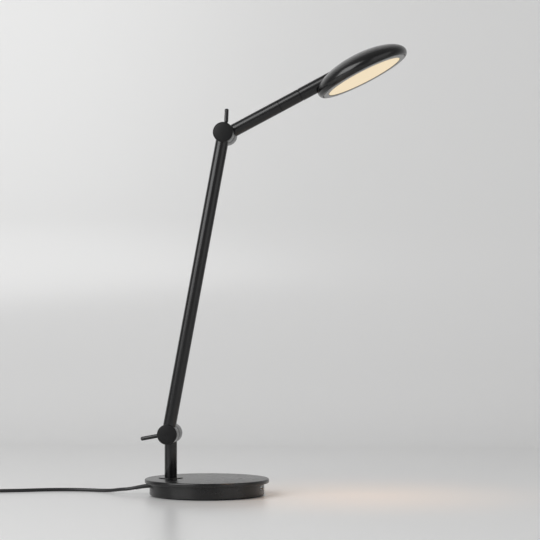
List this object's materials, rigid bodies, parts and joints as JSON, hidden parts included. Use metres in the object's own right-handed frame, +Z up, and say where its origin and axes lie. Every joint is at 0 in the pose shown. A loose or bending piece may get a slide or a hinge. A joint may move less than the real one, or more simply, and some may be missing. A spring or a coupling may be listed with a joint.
{
  "type": "jointed desk lamp",
  "caption": "Desk lamp with a weighted round base, a short post, a long and a short tube arm joined by clamped knuckles, and a round disc head with a lit face.",
  "frame": {"origin": "on the table, under the centre of the round base, on the foot pad's face", "axes": "+Z up; the arms lie and fold in planes square to Y and the head reaches towards +X; the knuckle bolts run along Y, with the long arm on the -Y side; the cord leaves towards -X"},
  "size_m": [0.7333, 0.1877, 0.649],
  "materials": {
    "black_metal": "satin black powder coat",
    "black_alloy": "satin black coat on alloy",
    "steel": "bright plated steel",
    "raw_iron": "raw cast weight",
    "aluminium": "bare sheet",
    "black_plastic": "matte",
    "grey_plastic": "satin grey",
    "white_plastic": "matte",
    "board": "circuit board",
    "diffuser": "frosted, lit",
    "rubber": "soft black",
    "cord_skin": "flexible insulation, satin",
    "lead_skin": "insulated lead"
  },
  "bodies": {
    "base": {"base_top_disc": "black_metal", "base_drum": "black_metal", "bottom_plate": "black_metal", "foot_pad": "rubber", "base_screws": "steel", "ballast_weight": "raw_iron", "touch_cap": "black_metal", "touch_contact": "steel", "socket_frame": "black_plastic", "socket_shell": "steel", "socket_tongue": "white_plastic", "circuit_board": "board", "post_collar": "black_metal", "swivel_bush": "black_plastic", "swivel_stop_pin": "steel", "strain_relief": "rubber", "cord_lead": "cord_skin", "cord_coil": "cord_skin", "cord_tail": "cord_skin", "plug_body": "black_plastic", "plug_pins": "steel"},
    "post": {"post_foot": "steel", "swivel_stop_washer": "steel", "swivel_nut": "steel", "post_tube": "black_metal", "post_lead": "lead_skin", "lower_rear_hub": "black_alloy", "lower_rear_cap": "black_metal", "lower_thrust_washer": "steel"},
    "lower_clamp": {"lower_clamp_nut": "steel", "lower_lever": "black_metal"},
    "lower_arm": {"lower_front_hub": "black_alloy", "lower_front_cap": "black_metal", "lower_clamp_bolt": "steel", "lower_friction_disc": "black_plastic", "lower_arm_tube": "black_alloy", "lower_arm_lead": "lead_skin", "upper_front_hub": "black_alloy", "upper_front_cap": "black_metal", "upper_clamp_bolt": "steel", "upper_friction_disc": "black_plastic"},
    "upper_arm": {"upper_rear_hub": "black_alloy", "upper_rear_cap": "black_metal", "upper_thrust_washer": "steel", "upper_arm_tube": "black_alloy", "upper_arm_lead": "lead_skin", "swivel_sleeve": "black_metal"},
    "upper_clamp": {"upper_clamp_nut": "steel", "upper_lever": "black_metal"},
    "head": {"head_spindle": "steel", "spindle_nut": "steel", "head_neck": "black_alloy", "head_lead": "lead_skin", "head_shell": "black_alloy", "head_bezel": "grey_plastic", "light_diffuser": "diffuser", "light_spacer": "white_plastic", "led_board": "board", "heat_plate": "aluminium", "head_screws": "steel"}
  },
  "joints": [
    {"name": "post_swivel", "type": "hinge", "parent": "base", "child": "post", "pos_m": [-0.053, 0, 0.0245], "axis": [0, 0, 1], "range_deg": [-90, 90]},
    {"name": "lower_arm_tilt", "type": "hinge", "parent": "post", "child": "lower_arm", "pos_m": [-0.053, 0, 0.0894], "axis": [0, 1, 0], "range_deg": [-45, 60]},
    {"name": "lower_lever_turn", "type": "hinge", "parent": "post", "child": "lower_clamp", "pos_m": [-0.053, 0, 0.0894], "axis": [0, 1, 0], "range_deg": [-25, 30]},
    {"name": "upper_arm_tilt", "type": "hinge", "parent": "lower_arm", "child": "upper_arm", "pos_m": [0.02794, 0, 0.52189], "axis": [0, 1, 0], "range_deg": [-70, 110]},
    {"name": "upper_lever_turn", "type": "hinge", "parent": "upper_arm", "child": "upper_clamp", "pos_m": [0.02794, 0, 0.52189], "axis": [0, 1, 0], "range_deg": [-30, 12]},
    {"name": "head_twist", "type": "hinge", "parent": "upper_arm", "child": "head", "pos_m": [0.13572, 0, 0.57776], "axis": [0.8878, 0, 0.4602], "range_deg": [-90, 90]}
  ]
}
